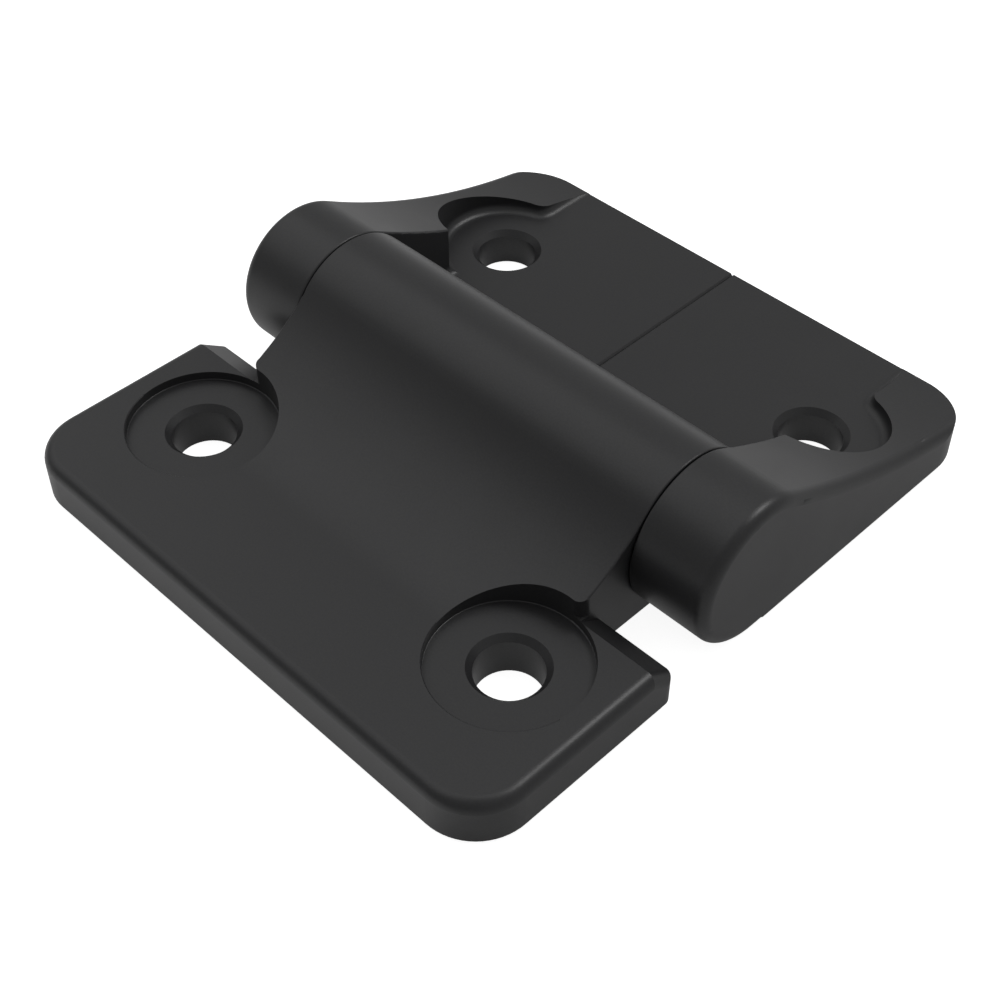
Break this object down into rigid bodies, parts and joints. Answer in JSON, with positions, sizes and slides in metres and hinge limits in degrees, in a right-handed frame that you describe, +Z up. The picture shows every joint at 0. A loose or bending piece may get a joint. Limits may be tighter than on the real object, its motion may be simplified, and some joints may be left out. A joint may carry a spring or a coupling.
{
  "type": "torque hinge",
  "caption": "Flat surface-mounted torque hinge with two moulded leaves, counterbored screw holes and friction clips on a steel pin.",
  "frame": {"origin": "on the plane that both leaves stand on, under the middle of the pin", "axes": "+X along the pin, +Y towards the rear leaf, which is the one in two halves, and +Z up out of the mounting plane"},
  "size_m": [0.0626, 0.0704, 0.0155],
  "materials": {
    "leaf_plastic": "fine matte moulded glass-filled nylon, black",
    "pin_steel": "ground stainless steel",
    "clip_steel": "hardened spring steel, oiled",
    "bush_plastic": "natural acetal"
  },
  "bodies": {
    "front": {"front_leaf": "leaf_plastic", "pin_bush_left": "bush_plastic", "pin_bush_right": "bush_plastic", "friction_clip_01": "clip_steel", "friction_clip_02": "clip_steel", "friction_clip_03": "clip_steel", "friction_clip_04": "clip_steel", "friction_clip_05": "clip_steel", "friction_clip_06": "clip_steel", "friction_clip_07": "clip_steel", "friction_clip_08": "clip_steel", "friction_clip_09": "clip_steel", "friction_clip_10": "clip_steel", "friction_clip_11": "clip_steel", "friction_clip_12": "clip_steel"},
    "rear": {"rear_leaf_left": "leaf_plastic", "rear_leaf_right": "leaf_plastic", "hinge_pin": "pin_steel", "thrust_washer_left": "bush_plastic", "thrust_washer_right": "bush_plastic"}
  },
  "joints": [
    {"name": "leaf_fold", "type": "hinge", "parent": "front", "child": "rear", "pos_m": [0, 0, 0.00775], "axis": [1, 0, 0], "range_deg": [-90, 180]}
  ]
}
